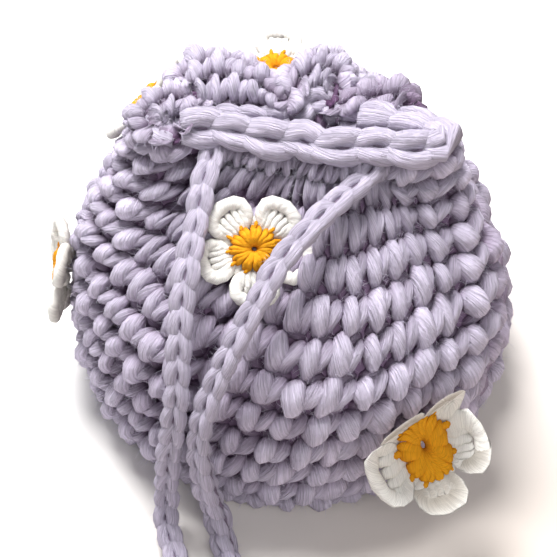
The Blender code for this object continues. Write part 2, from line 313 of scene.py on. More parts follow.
def pouch_grid():
    """Positions and outward normals of the pouch on a fine grid of azimuth and height."""
    turns = np.radians(GRID_AZIMUTHS)
    rim, rolled_rim = outlines_at(GRID_AZIMUTHS)
    circle = np.stack([np.cos(turns), np.sin(turns)], axis=1)
    layers = []
    for z in GRID_HEIGHTS:
        share = np.clip((z - HINGE_Z) / (NECK_Z - HINGE_Z), 0, 1) ** 2
        flat = circle * profile_radius(np.array(z)) * (1 - share) + rim * share
        flat = flat + circle * pleat_depth(z)[:, None]
        height = np.full(len(flat), z)
        if z > ROLL_START:
            along = min((z - ROLL_START) / ROLL_LENGTH, 1.0)
            aside = np.abs((GRID_AZIMUTHS - ROLL_MIDDLE + 180) % 360 - 180)
            part = np.clip((ROLL_HALF + ROLL_FADE - aside) / ROLL_FADE, 0, 1)
            if along < 1:
                inner = rim + (rolled_rim - rim) * along
            else:
                inner = layers[-1][:, :2]
            flat = flat * (1 - part[:, None]) + inner * part[:, None]
            crown = ROLL_RISE * math.sin(math.pi * along**ROLL_CROWN)
            top = ROLL_START + crown + ROLL_END_RISE * along
            height = z * (1 - part) + top * part
        layers.append(np.column_stack([flat, height]))
    grid = np.stack(layers, axis=1)
    around = np.roll(grid, -1, axis=0) - np.roll(grid, 1, axis=0)
    upward = np.gradient(grid, axis=1)
    normals = unit(np.cross(around, upward))
    for _ in range(2):
        normals = normals + np.roll(normals, 1, axis=0) + np.roll(normals, -1, axis=0)
        normals = unit(normals)
    return grid, normals


POUCH, POUCH_NORMALS = pouch_grid()


def on_pouch(azimuths, heights):
    """Positions and normals of the pouch's outer surface, for arrays of any shape."""
    a = np.asarray(azimuths) % 360
    b = (np.asarray(heights) - GRID_HEIGHTS[0]) / (GRID_HEIGHTS[1] - GRID_HEIGHTS[0])
    b = np.clip(b, 0, len(GRID_HEIGHTS) - 1.001)
    i = np.floor(a).astype(int)
    j = np.floor(b).astype(int)
    fa = (a - i)[..., None]
    fb = (b - j)[..., None]
    n = len(GRID_AZIMUTHS)
    found = []
    for table in (POUCH, POUCH_NORMALS):
        low = table[i % n, j] * (1 - fa) + table[(i + 1) % n, j] * fa
        high = table[i % n, j + 1] * (1 - fa) + table[(i + 1) % n, j + 1] * fa
        found.append(low * (1 - fb) + high * fb)
    return found[0], unit(found[1])


BASE_Z = 0.0026
BASE_OVERHANG = 0.001


def on_base(azimuths, inward):
    """The underside: inward is the distance from the foot of the wall towards the middle."""
    turns = np.radians(azimuths)
    radius = np.maximum(FOOT_RADIUS + BASE_OVERHANG - inward, 0.0002)
    height = np.full_like(radius, BASE_Z)
    points = np.stack([radius * np.cos(turns), radius * np.sin(turns), height], axis=-1)
    normals = np.zeros_like(points)
    normals[..., 2] = -1
    return points, normals


# ---------- meshes from strands


class Strands:
    """Collects closed tubes of yarn and makes one mesh of them."""

    def __init__(self):
        self.points = []
        self.quads = []
        self.caps = []
        self.uvs = []
        self.painted_lit_shares = []
        self.outs = []
        self.count = 0

    def add(self, rings, uvs, painted_lit_shares):
        """rings: (tubes, rings, sides, 3); uvs: (tubes, rings, sides + 1, 2); painted_lit_shares
        from 0, the painted shade colour, to 1, the lit colour.
        """
        tubes, length, sides, _ = rings.shape
        base = np.arange(tubes * length * sides).reshape(tubes, length, sides) + self.count
        after = np.roll(base, -1, axis=2)
        quads = np.stack([base[:, :-1], after[:, :-1], after[:, 1:], base[:, 1:]], axis=-1)
        corners = (uvs[:, :-1, :-1], uvs[:, :-1, 1:], uvs[:, 1:, 1:], uvs[:, 1:, :-1])
        self.points.append(rings.reshape(-1, 3))
        self.outs.append(unit(rings - rings.mean(axis=2, keepdims=True)).reshape(-1, 3))
        self.quads.append(quads.reshape(-1, 4))
        self.uvs.append(np.stack(corners, axis=-2).reshape(-1, 2))
        self.caps.extend(base[:, 0, ::-1])
        self.caps.extend(base[:, -1])
        self.painted_lit_shares.append(painted_lit_shares.reshape(-1))
        self.count += tubes * length * sides

    def mesh(self, name):
        """One mesh of all the tubes, with yarn coordinates and a depth value on its points, which
        paints shade between the strands.
        """
        points = np.concatenate(self.points)
        quads = np.concatenate(self.quads)
        caps = [np.asarray(cap) for cap in self.caps]
        loops = np.concatenate([quads.reshape(-1), *caps])
        sizes = np.concatenate([np.full(len(quads), 4), [len(cap) for cap in caps]])
        starts = np.concatenate([[0], np.cumsum(sizes)[:-1]])
        made = bpy.data.meshes.new(name)
        made.vertices.add(len(points))
        made.vertices.foreach_set("co", points.astype(np.float32).reshape(-1))
        made.loops.add(len(loops))
        made.loops.foreach_set("vertex_index", loops.astype(np.int32))
        made.polygons.add(len(sizes))
        made.polygons.foreach_set("loop_start", starts.astype(np.int32))
        made.polygons.foreach_set("loop_total", sizes.astype(np.int32))
        layer = made.uv_layers.new(name="yarn")
        uvs = np.zeros((len(loops), 2), np.float32)
        stored = np.concatenate(self.uvs)
        uvs[: len(stored)] = stored
        layer.data.foreach_set("uv", uvs.reshape(-1))
        depth = made.attributes.new("depth", "FLOAT", "POINT")
        depth.data.foreach_set("value", np.concatenate(self.painted_lit_shares).astype(np.float32))
        made.update(calc_edges=True)
        made.validate()
        made.shade_smooth()
        return made


def add_piece(name, mesh, material):
    piece = bpy.data.objects.new(name, mesh)
    mesh.materials.append(material)
    bpy.context.scene.collection.objects.link(piece)
    return piece


def tube_rings(centre, across, out, radii, sides, plies=3, twist=2.0, ridge=0.08, flat=1.0):
    """Rings round a centreline: arrays (..., rings, 3). twist is in turns along the strand."""
    rings = centre.shape[-2]
    angle = np.arange(sides) * 2 * math.pi / sides
    along = np.linspace(0, 1, rings)[:, None]
    swell = 1 + ridge * np.cos(plies * (angle[None, :] - along * twist * 2 * math.pi))
    radius = radii[..., None] * swell
    c = np.cos(angle)[None, :, None] * radius[..., None]
    s = np.sin(angle)[None, :, None] * radius[..., None] * flat
    return centre[..., None, :] + across[..., None, :] * c + out[..., None, :] * s


def short_strand(points, radius, rings, sides, taper, power, ridge):
    """The middle line of a short strand of yarn, and the rings of its surface."""
    centre = even_route(points, 0.00005)
    centre = centre[np.linspace(0, len(centre) - 1, rings).round().astype(int)]
    _, across, out = carried_frames(centre, (0, 0, 1))
    radii = radius * (1 - taper * np.abs(np.linspace(-1, 1, rings)) ** power)
    return centre, tube_rings(centre, across, out, radii, sides, twist=0.5, ridge=ridge)


def strand_uvs(tubes, rings, sides, length, repeats=1.0):
    """u runs along the strand in centimetres of yarn, v once around it."""
    u = np.linspace(0, length * 100 * repeats, rings)
    v = np.linspace(0, 1, sides + 1)
    grid = np.stack(np.meshgrid(u, v, indexing="ij"), axis=-1)
    shift = RNG.uniform(0, 40, (tubes, 1, 1, 1)) * np.array([1.0, 0.0])
    return grid[None] + shift


# ---------- crochet stitches


# A stitch leg: x in stitch widths, y in round heights, then height off the fabric in metres.
LEFT_LEG = (
    (0.02, -0.40, -0.0012),
    (-0.08, -0.22, 0.0012),
    (-0.17, 0.00, 0.0023),
    (-0.25, 0.20, 0.0018),
    (-0.30, 0.38, -0.0008),
)
RIGHT_LEG = (
    (0.06, -0.38, -0.0018),
    (0.14, -0.20, 0.0004),
    (0.24, 0.00, 0.0016),
    (0.34, 0.16, 0.0014),
    (0.42, 0.30, -0.0010),
)
# The bar that the next round is worked over, between the legs.
TOP_BAR = (
    (-0.52, 0.34, -0.0022),
    (-0.26, 0.44, -0.0006),
    (0.00, 0.48, -0.0002),
    (0.26, 0.44, -0.0006),
    (0.52, 0.34, -0.0022),
)
LEG_KINDS = ((LEFT_LEG, 0.0029), (RIGHT_LEG, 0.0024), (TOP_BAR, 0.0016))
STITCH_SIZE = 0.0085
LEG_RINGS = 11
LEG_SIDES = 14
LEG_TAPER = 0.80
LEG_TAPER_POWER = 3.4
LEG_RIDGE = 0.06
# Swelling of a strand: size, waves around it, and how far the waves turn along it in radians.
LUMPS = ((0.09, 2, 4), (0.06, 3, -6), (0.07, 0, 9), (0.05, 5, 7))
# How uneven the stitches are: size, turn, shift sideways, shift upwards and height.
UNEVENNESS = (0.07, 0.10, 0.04, 0.03, 0.10)
# Painted shade between the strands: the colour is darkest this far below the fabric's surface, and
# fully lit that much higher.
DEEPEST = 0.0004
DEPTH_RANGE = 0.0052


def stitch_leg(route, radius):
    """The middle line of a strand, and the offsets of its surface, in metres of a stitch."""
    scaled = [(x * STITCH_SIZE, y * STITCH_SIZE, h) for x, y, h in route]
    shape = (LEG_RINGS, LEG_SIDES, LEG_TAPER, LEG_TAPER_POWER, LEG_RIDGE)
    centre, leg = short_strand(scaled, radius, *shape)
    return centre, leg - centre[:, None]


def lumps(count):
    """Uneven swelling of each strand, as soft yarn has where it is pulled."""
    angle = np.arange(LEG_SIDES)[None, None, :] * 2 * math.pi / LEG_SIDES
    along = np.linspace(0, 1, LEG_RINGS)[None, :, None]
    phases = RNG.uniform(0, 2 * math.pi, (len(LUMPS), count, 1, 1))
    swell = 1
    for (size, waves, turn), phase in zip(LUMPS, phases):
        swell = swell + size * np.sin(waves * angle + phase + turn * along)
    return swell


def lay_stitches(strands, surface, azimuths, heights, width, height, gain=1.0):
    """One stitch at each azimuth and height. width is in degrees, height in metres."""
    count = len(azimuths)
    for route, radius in LEG_KINDS:
        centre, offset = stitch_leg(route, radius)
        leg = centre[:, None] + offset * lumps(count)[..., None]
        jitter = RNG.normal(0, 1, (len(UNEVENNESS), count, 1, 1))
        size, spin, aside, rise, swell = (a * b for a, b in zip(UNEVENNESS, jitter))
        x = leg[..., 0] / STITCH_SIZE * (1 + size)
        y = leg[..., 1] / STITCH_SIZE * (1 + size)
        x, y = x - y * spin, y + x * spin
        x = x + LEAN * y + aside
        y = y + rise
        h = leg[..., 2] * gain * (1 + swell)
        around = azimuths[:, None, None] + x * width
        upward = heights[:, None, None] + y * height
        points, normals = surface(around, upward)
        placed = points + normals * h[..., None]
        placed[..., 2] = np.maximum(placed[..., 2], TABLE_GAP)
        # Painted shade: yarn lower off the fabric takes more of the shade colour, and the pleats
        # darken it further.
        depth = np.clip((h + DEEPEST) / DEPTH_RANGE, 0, 1)
        if surface is on_pouch:
            depth *= 1 - PLEAT_DARKENING * pleat_shade(azimuths, heights)[:, None, None]
        uvs = strand_uvs(count, LEG_RINGS, LEG_SIDES, STITCH_SIZE)
        strands.add(placed, uvs, depth)


def round_positions(index):
    """Azimuths of the stitches of one round; each round leans a little further on."""
    return (np.arange(STITCHES) + LEAN * index) * (360 / STITCHES) % 360


# ---------- materials


def set_inputs(made, values):
    for key, value in values.items():
        made.inputs[key].default_value = value


def node(tree, kind, place, **inputs):
    made = tree.nodes.new(kind)
    made.location = place
    set_inputs(made, inputs)
    return made


def ramp_node(tree, place, factor, low, high, end=1.0):
    """Colours from low to high as the factor goes from 0 to end."""
    made = node(tree, "ShaderNodeValToRGB", place)
    made.color_ramp.elements[0].color = (*low, 1)
    made.color_ramp.elements[1].color = (*high, 1)
    made.color_ramp.elements[1].position = end
    tree.links.new(factor, made.inputs["Fac"])
    return made.outputs["Color"]


def new_material(name, settings):
    """A material with these shader inputs: its node tree, its shader and itself."""
    made = bpy.data.materials.new(name)
    made.use_nodes = True
    shader = made.node_tree.nodes["Principled BSDF"]
    set_inputs(shader, settings)
    return made.node_tree, shader, made


def math_node(tree, operation, place, *values):
    made = tree.nodes.new("ShaderNodeMath")
    made.operation = operation
    made.location = place
    for socket, value in zip(made.inputs, values):
        if isinstance(value, (int, float)):
            socket.default_value = value
        else:
            tree.links.new(value, socket)
    return made.outputs[0]


# Scale of the fibre noise along a strand and around it.
FIBRE_STRETCH = 0.9
FIBRE_ROUND = 2.5


def yarn_group():
    """Twisted plies and fine fibres: gives a height for bump and a mask of fibre streaks."""
    group = bpy.data.node_groups.new("twisted yarn", "ShaderNodeTree")
    face = group.interface
    face.new_socket("Plies", in_out="INPUT", socket_type="NodeSocketFloat").default_value = 3
    face.new_socket("Twist", in_out="INPUT", socket_type="NodeSocketFloat").default_value = 1
    face.new_socket("Height", in_out="OUTPUT", socket_type="NodeSocketFloat")
    face.new_socket("Fibres", in_out="OUTPUT", socket_type="NodeSocketFloat")
    start = node(group, "NodeGroupInput", (0, 0))
    end = node(group, "NodeGroupOutput", (1200, 0))
    uv = node(group, "ShaderNodeUVMap", (-200, 200))
    uv.uv_map = "yarn"
    split = node(group, "ShaderNodeSeparateXYZ", (0, 200))
    group.links.new(uv.outputs[0], split.inputs[0])
    u, v = split.outputs[0], split.outputs[1]
    turned = math_node(group, "MULTIPLY", (200, 200), u, start.outputs["Twist"])
    around = math_node(group, "ADD", (350, 200), v, turned)
    phase = math_node(group, "MULTIPLY", (500, 200), around, start.outputs["Plies"])
    wave = math_node(group, "MULTIPLY", (600, 200), phase, 2 * math.pi)
    ply = math_node(group, "SINE", (700, 200), wave)
    # Points on a cylinder in twisted coordinates, so that the noise has no seam.
    angle = math_node(group, "MULTIPLY", (350, -100), around, 2 * math.pi)
    cosine = math_node(group, "COSINE", (500, -50), angle)
    sine = math_node(group, "SINE", (500, -120), angle)
    join = node(group, "ShaderNodeCombineXYZ", (650, -100))
    scaled = ((u, FIBRE_STRETCH), (cosine, FIBRE_ROUND), (sine, FIBRE_ROUND))
    for index, (value, scale) in enumerate(scaled):
        grown = math_node(group, "MULTIPLY", (600, -50 * index), value, scale)
        group.links.new(grown, join.inputs[index])
    fibre = node(group, "ShaderNodeTexNoise", (750, -100), Scale=2.4, Detail=4.0, Roughness=0.65)
    group.links.new(join.outputs[0], fibre.inputs["Vector"])
    low = math_node(group, "MULTIPLY", (900, 100), ply, 0.35)
    height = math_node(group, "MULTIPLY_ADD", (1000, 0), fibre.outputs[0], 1.6, low)
    group.links.new(height, end.inputs["Height"])
    group.links.new(fibre.outputs[0], end.inputs["Fibres"])
    return group


def fabric_material(name, group, lit, shade, plies, twist, bump):
    """Matte yarn: painted shade deepens the colour between the strands, and the colour varies
    along the fibres.
    """
    settings = {
        "Roughness": 0.92,
        "Specular IOR Level": 0.15,
        "Sheen Weight": 0.15,
        "Sheen Roughness": 0.55,
        "Sheen Tint": (*lit, 1),
        "Subsurface Weight": 0.08,
        "Subsurface Radius": (0.0010, 0.0008, 0.0010),
        "Subsurface Scale": 1.0,
    }
    tree, shader, made = new_material(name, settings)
    yarn = node(tree, "ShaderNodeGroup", (-900, -100))
    yarn.node_tree = group
    set_inputs(yarn, {"Plies": plies, "Twist": twist})
    # The depth attribute mixes in the painted shade colour between the strands.
    depth = node(tree, "ShaderNodeAttribute", (-900, 250))
    depth.attribute_name = "depth"
    painted_shade_colour = ramp_node(tree, (-650, 250), depth.outputs["Fac"], shade, lit, 0.80)
    place = node(tree, "ShaderNodeTexCoord", (-1100, 500))
    patches = node(tree, "ShaderNodeTexNoise", (-900, 500), Scale=140.0, Detail=2.0)
    tree.links.new(place.outputs["Object"], patches.inputs["Vector"])
    streak = math_node(tree, "MULTIPLY_ADD", (-650, 0), yarn.outputs["Fibres"], 1.5, 0.25)
    cloud = math_node(tree, "MULTIPLY_ADD", (-650, 500), patches.outputs["Fac"], 0.16, 0.92)
    value = math_node(tree, "MULTIPLY", (-450, 100), streak, cloud)
    tint = node(tree, "ShaderNodeHueSaturation", (-300, 200))
    tree.links.new(painted_shade_colour, tint.inputs["Color"])
    tree.links.new(value, tint.inputs["Value"])
    tree.links.new(tint.outputs["Color"], shader.inputs["Base Color"])
    relief = node(tree, "ShaderNodeBump", (-300, -200), Strength=bump, Distance=0.0012)
    tree.links.new(yarn.outputs["Height"], relief.inputs["Height"])
    tree.links.new(relief.outputs["Normal"], shader.inputs["Normal"])
    return made


def fuzz_material(name, colour):
    """Loose fibres: thin, pale and a little translucent."""
    settings = {
        "Roughness": 0.9,
        "Specular IOR Level": 0.1,
        "Subsurface Weight": 0.3,
        "Subsurface Radius": (0.0004, 0.0004, 0.0004),
    }
    tree, shader, made = new_material(name, settings)
    place = node(tree, "ShaderNodeTexCoord", (-800, 0))
    noise = node(tree, "ShaderNodeTexNoise", (-600, 0), Scale=300.0)
    tree.links.new(place.outputs["Object"], noise.inputs["Vector"])
    darker = [value * 0.8 for value in colour]
    varied = ramp_node(tree, (-300, 0), noise.outputs["Fac"], darker, colour)
    tree.links.new(varied, shader.inputs["Base Color"])
    return made


# ---------- chains of V's


# Strands of a chain's link: across in metres, along in links, then out in metres.
CHAIN_LEFT = (
    (-0.0002, -0.80, 0.0002),
    (-0.0011, -0.40, 0.0015),
    (-0.0018, 0.05, 0.0017),
    (-0.0015, 0.50, 0.0010),
    (-0.0006, 0.85, -0.0003),
)
CHAIN_RIGHT = tuple((-x, s, h) for x, s, h in CHAIN_LEFT)
CHAIN_BACK = (
    (0.0000, -0.70, -0.0012),
    (0.0004, -0.30, -0.0018),
    (0.0000, 0.00, -0.0020),
    (-0.0004, 0.30, -0.0018),
    (0.0000, 0.70, -0.0012),
)
CHAIN_PARTS = ((CHAIN_LEFT, 0.0017), (CHAIN_RIGHT, 0.0017), (CHAIN_BACK, 0.0014))
CHAIN_WIDTH = 0.0065
CHAIN_LINK = 0.0062
CHAIN_RINGS = 9
CHAIN_SIDES = 12
# How uneven the links are: share of their size, and shift sideways in metres.
LINK_SPREAD = 0.05
LINK_SHIFT = 0.00012
# Radius of the yarn inside the drawstring, and sides and painted shade of any such core, which
# lies in the shade between the links.
CORD_CORE = 0.0018
CORE_SIDES = 8
CORE_LIT_SHARE = 0.25


def along_route(route, frames, distances):
    """Position, sideways and outward at these distances along a route."""
    along = lengths_along(route)
    found = []
    for table in (route, frames[1], frames[2]):
        columns = [np.interp(distances, along, table[:, k]) for k in range(3)]
        found.append(np.stack(columns, axis=-1))
    return found[0], unit(found[1]), unit(found[2])


def add_chain(strands, points, normal, width=CHAIN_WIDTH):
    """A crocheted chain along a route, its V's facing the normal."""
    route = even_route(points, 0.0006)
    frames = carried_frames(route, normal)
    total = lengths_along(route)[-1]
    scale = width / CHAIN_WIDTH
    count = max(2, round(total / (CHAIN_LINK * scale)))
    pitch = total / count
    middles = (np.arange(count) + 0.5) * pitch
    for part, radius in CHAIN_PARTS:
        scaled = [(x, s * CHAIN_LINK, h) for x, s, h in part]
        _, leg = short_strand(scaled, radius, CHAIN_RINGS, CHAIN_SIDES, 0.45, 3, 0.09)
        leg = leg * scale
        jitter = RNG.normal(0, 1, (3, count, 1, 1))
        distance = middles[:, None, None] + leg[None, :, :, 1] / scale / CHAIN_LINK * pitch
        distance = np.clip(distance, 0.0002, total - 0.0002)
        place, sideways, outward = along_route(route, frames, distance)
        x = leg[None, :, :, 0] * (1 + LINK_SPREAD * jitter[0]) + LINK_SHIFT * jitter[1]
        h = leg[None, :, :, 2] * (1 + LINK_SPREAD * jitter[2])
        placed = place + sideways * x[..., None] + outward * h[..., None]
        placed[..., 2] = np.maximum(placed[..., 2], TABLE_GAP)
        # Painted shade: the links are darker towards the middle line of the chain.
        depth = np.clip(0.35 + 0.65 * np.hypot(x, h) / (0.5 * width), 0, 1)
        strands.add(placed, strand_uvs(count, CHAIN_RINGS, CHAIN_SIDES, CHAIN_LINK), depth)
    return route


def add_core(strands, route, normal, radius):
    """The yarn inside a chain, which closes the view between its links."""
    frames = carried_frames(route, normal)
    radii = np.full(len(route), radius)
    rings = tube_rings(route, frames[1], frames[2], radii, CORE_SIDES, twist=20, ridge=0.06)
    uvs = strand_uvs(1, len(route), CORE_SIDES, lengths_along(route)[-1])
    # The core is painted mostly in the shade colour.
    strands.add(rings[None], uvs, np.full((1, len(route), CORE_SIDES), CORE_LIT_SHARE))


# ---------- loose fibres


FIBRE_RADIUS = 0.000045
FIBRE_RINGS = 3
FIBRE_SIDES = 3
# Fibres grow only where the depth value is above this, which leaves the gaps clean.
FIBRE_ROOT_DEPTH = 0.35
FABRIC_FUZZ = 0.0024
CORD_FUZZ = 0.0020
# Number of fibres: on the wall, on a whole round of the neck and of the edge, and on a tail.
WALL_FIBRES = 12500
NECK_FIBRES = 16000
EDGE_FIBRES = 3500
TAIL_FIBRES = 3000


def add_fuzz(name, source, count, length, material, seed):
    """Fine curved fibres standing off the strands of another piece."""
    rng = np.random.default_rng(seed)
    points = np.concatenate(source.points)
    painted_lit_shares = np.concatenate(source.painted_lit_shares)
    outs = np.concatenate(source.outs)
    raised = np.flatnonzero(painted_lit_shares > FIBRE_ROOT_DEPTH)
    chosen = rng.choice(raised, count)
    root = points[chosen]
    away = unit(outs[chosen] * 0.55 + rng.normal(0, 0.55, (count, 3)))
    bend = unit(rng.normal(0, 1, (count, 3)))
    reach = length * rng.uniform(0.35, 1.0, (count, 1)) ** 1.5
    share = np.linspace(0, 1, FIBRE_RINGS)[None, :, None]
    centre = root[:, None] + (away * reach)[:, None] * share
    centre = centre + (bend * reach * 0.45)[:, None] * share**2
    centre[..., 2] = np.maximum(centre[..., 2], TABLE_GAP)
    side = unit(np.cross(away, bend))[:, None].repeat(FIBRE_RINGS, axis=1)
    other = unit(np.cross(side, away[:, None].repeat(FIBRE_RINGS, axis=1)))
    thinning = 1 - 0.75 * np.linspace(0, 1, FIBRE_RINGS)
    radii = FIBRE_RADIUS * thinning[None].repeat(count, axis=0)
    angle = np.arange(FIBRE_SIDES) * 2 * math.pi / FIBRE_SIDES
    c = (np.cos(angle) * radii[..., None])[..., None]
    s = (np.sin(angle) * radii[..., None])[..., None]
    tubes = centre[..., None, :] + side[..., None, :] * c + other[..., None, :] * s
    hairs = Strands()
    uvs = np.zeros((count, FIBRE_RINGS, FIBRE_SIDES + 1, 2))
    hairs.add(tubes, uvs, np.ones((count, FIBRE_RINGS, FIBRE_SIDES)))
    return add_piece(name, hairs.mesh(name), material)


# ---------- daisies


PETALS = 5
PETAL_TURN = 50
PETAL_LIFT = 0.0040
# One petal: outwards, sideways and height above the petals' own plane, in metres.
PETAL_ROPE = (
    (0.0054, -0.0014, -0.0004),
    (0.0080, -0.0038, 0.0002),
    (0.0110, -0.0046, 0.0005),
    (0.0130, -0.0024, 0.0004),
    (0.0134, 0.0004, 0.0003),
    (0.0128, 0.0030, 0.0005),
    (0.0106, 0.0048, 0.0006),
    (0.0078, 0.0036, 0.0002),
    (0.0054, 0.0012, -0.0004),
)
# Stitches that fill a petal: their places across it, then one stitch's line as outwards,
# share of its place, and height. After them, the short stitch to the next petal.
PETAL_POSTS = (-1.7, -0.85, 0.0, 0.85, 1.7)
POST_SPACING = 0.0019
POST_LINE = ((0.0050, 0.55, -0.0002), (0.0080, 0.90, 0.0006), (0.0115, 1.15, 0.0001))
LINK_LINE = ((0.0050, 0, -0.0008), (0.0085, 0, -0.0006))
# The centre: radial stitches, each of two strands, and the spikes at its edge.
CENTRE_STITCHES = 11
CENTRE_LINE = (
    (0.0008, 0, 0.0004),
    (0.0022, 0.0001, 0.0022),
    (0.0042, -0.0001, 0.0024),
    (0.0060, 0, 0.0006),
)
CENTRE_SHIFT = 0.00055
SPIKE_LINE = ((0.0052, 0.0004, 0.0010), (0.0062, 0.0002, 0.0014))
SPIKE_REACH = 0.0070
SPIKE_SPREAD = 0.0010


def strand_tube(strands, points, radius, sides, taper, flat=1.0, plies=2, twist=2.0):
    """One closed tube of cotton along the given points, thinner at its ends by the taper."""
    length = sum(math.dist(a, b) for a, b in zip(points, points[1:]))
    centre = even_route(points, length / 14)
    _, across, out = carried_frames(centre, (0.02, 0.01, 1))
    share = np.linspace(-1, 1, len(centre))
    radii = radius * (1 - taper * np.abs(share) ** 4)
    rings = tube_rings(centre, across, out, radii, sides, plies, twist, 0.10, flat)
    uvs = strand_uvs(1, len(centre), sides, length, 2.0)
    # Painted shade: the underside of the tube is darker and its top lighter.
    height = rings[..., 2]
    depth = np.clip(0.55 + (height - height.mean()) / 0.003, 0, 1)
    strands.add(rings[None], uvs, depth[None])


def turned(points, degrees):
    """Points as outwards, sideways, height: turned about the flower's axis and lifted."""
    turn = math.radians(degrees)
    cosine, sine = math.cos(turn), math.sin(turn)
    return [(r * cosine - t * sine, r * sine + t * cosine, PETAL_LIFT + z) for r, t, z in points]


def petals_of(rng):
    """Round petals: a rope around each, filled with short stitches."""
    strands = Strands()
    for number in range(PETALS):
        angle = PETAL_TURN + 360 / PETALS * number + rng.normal(0, 2)
        lift = rng.normal(0, 0.0002)
        size = 1 + rng.normal(0, 0.03)
        rope = [(r * size, t * size, z + lift) for r, t, z in PETAL_ROPE]
        strand_tube(strands, turned(rope, angle), 0.00175, 12, 0.45, flat=0.85, twist=3.0)
        for post in PETAL_POSTS:
            line = [(r, post * POST_SPACING * share, z) for r, share, z in POST_LINE]
            strand_tube(strands, turned(line, angle), 0.00100, 8, 0.35, twist=1.0)
        strand_tube(strands, turned(LINK_LINE, angle + 180 / PETALS), 0.0012, 8, 0.4)
    return strands


def centre_of(rng):
    """A ring of radial stitches around a small dark hole, with loose spikes at its edge."""
    strands = Strands()
    for number in range(CENTRE_STITCHES):
        angle = 360 / CENTRE_STITCHES * number + rng.normal(0, 2)
        for shift in (-CENTRE_SHIFT, CENTRE_SHIFT):
            pair = [(r, t + shift * (0.4 + r / 0.0042), z) for r, t, z in CENTRE_LINE]
            strand_tube(strands, turned(pair, angle), 0.00085, 8, 0.4, twist=1.2)
        reach = SPIKE_REACH + rng.uniform(0, SPIKE_SPREAD)
        spike = [*SPIKE_LINE, (reach, rng.normal(0, 0.0004), 0.0012)]
        strand_tube(strands, turned(spike, angle + 180 / CENTRE_STITCHES), 0.00050, 6, 0.7)
    return strands


FOLD_SOFTNESS = 0.0035


def folded(points, degrees, angle):
    """Bends both halves of a flower up about a line through its middle."""
    turn = math.radians(degrees)
    along = np.array([math.cos(turn), math.sin(turn), 0])
    aside = np.array([-math.sin(turn), math.cos(turn), 0])
    a = points @ along
    b = points @ aside
    z = points[:, 2]
    limit = math.radians(angle)
    bend = limit * np.tanh(np.abs(b) / FOLD_SOFTNESS) * np.sign(b)
    raised = np.abs(b) * np.sin(np.abs(bend)) + z * np.cos(bend)
    inward = b * np.cos(bend) - z * np.sin(bend)
    flat = a[:, None] * along + inward[:, None] * aside
    return flat + raised[:, None] * np.array([0, 0, 1.0])


# Name, body, azimuth and height of its stitch, upward tilt in degrees and distance off the
# fabric, then the fold line and fold angle in degrees.
DAISIES = (
    ("front", "front_daisy", 246, 0.0705, 0, 0, 0, 6),
    ("lower_right", "lower_right_daisy", -61, 0.035, 24, 0.0080, 10, -46),
    ("left", "left_daisy", 180, 0.037, 0, 0.0015, 90, 12),
    ("rear_left", "rear_left_daisy", 140, 0.066, 0, 0, 40, 10),
    ("rear", "rear_daisy", 98, 0.073, 34, 0.0085, 0, 12),
)


def daisy_frame(azimuth, z, tilt, stand):
    """Origin and the sideways, upward and outward directions of a daisy on the pouch."""
    around = np.array([azimuth - 0.5, azimuth + 0.5, azimuth, azimuth, azimuth])
    heights = np.array([z, z, z - 0.001, z + 0.001, z])
    points, _ = on_pouch(around, heights)
    normal = unit(np.cross(points[1] - points[0], points[3] - points[2]))
    sideways = unit(np.cross((0, 0, 1.0), normal))
    upward = np.cross(normal, sideways)
    slope = math.radians(tilt)
    facing = normal * math.cos(slope) + upward * math.sin(slope)
    return points[4] + normal * stand, sideways, np.cross(facing, sideways), facing


# The daisy that hangs off the fabric is a little wider than the others.
DAISY_SPREAD = 1.10


def add_daisy(name, body, azimuth, z, tilt, stand, line, angle, white, yellow):
    """White petals and yellow centre. A flower off the fabric hangs on a thread."""
    rng = np.random.default_rng(hash_of(name))
    origin, sideways, upward, normal = daisy_frame(azimuth, z, tilt, stand)
    spread = DAISY_SPREAD if name == "lower_right" else 1
    parts = (
        ("petals", petals_of(rng), white, "white_cotton"),
        ("centre", centre_of(rng), yellow, "yellow_cotton"),
    )
    for part, strands, material, slot in parts:
        placed = []
        for points in strands.points:
            local = folded(points, line, angle) * spread
            world = local[:, :1] * sideways + local[:, 1:2] * upward + local[:, 2:] * normal
            placed.append(world + origin)
        strands.points = placed
        if part == "petals" and stand > 0:
            foot = origin - normal * stand / math.cos(math.radians(tilt))
            hanging = [foot, (foot + origin) / 2, origin + normal * PETAL_LIFT * 0.8]
            strand_tube(strands, hanging, 0.0011, 10, 0.1)
        piece = add_piece(f"daisy_{name}_{part}_stitched", strands.mesh(name), material)
        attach(piece, body)
        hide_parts(f"daisy_{name}_{part}")
        if part == "petals":
            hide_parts(f"daisy_{name}_tack")


def hash_of(name):
    """A seed that is the same on every run."""
    return sum((place + 1) * ord(letter) for place, letter in enumerate(name))


# ---------- pouch pieces


# The lining lies this far under the stitches. Its inner face shows the backs of the stitches.
LINING_SUNK = 0.0004
LINING_THICKNESS = 0.0026
LINING_FLOOR = 0.0004
# The lining's share of the lit colour is small: it is painted in shade, as it lies in the shade
# behind the stitches.
LINING_LIT_SHARE = 0.12
LINING_OVERLAP = 0.001
LINING_ABOVE_EYELETS = 0.003
COLUMN_STEP = 1.5
ROW_STEP = 0.0011
BACK_HEIGHT = 0.0084
BACK_RELIEF = 0.0013


def add_lining(name, first, last, low, high, material):
    """The fabric behind the stitches, a closed sheet with two faces."""
    columns = np.linspace(first, last, round((last - first) / COLUMN_STEP) + 1)
    rows = np.linspace(low, high, round((high - low) / ROW_STEP) + 1)
    a, z = np.meshgrid(columns, rows, indexing="ij")
    points, normals = on_pouch(a, z)
    column_wave = np.abs(np.sin(np.pi * (a / 360 * STITCHES + z / BACK_HEIGHT * LEAN)))
    row_wave = np.abs(np.sin(np.pi * z / BACK_HEIGHT))
    thickness = LINING_THICKNESS + BACK_RELIEF * np.sqrt(column_wave * row_wave)
    outer = points - normals * LINING_SUNK
    inner = points - normals * thickness[..., None]
    return add_piece(name, shell_mesh(name, outer, inner), material)


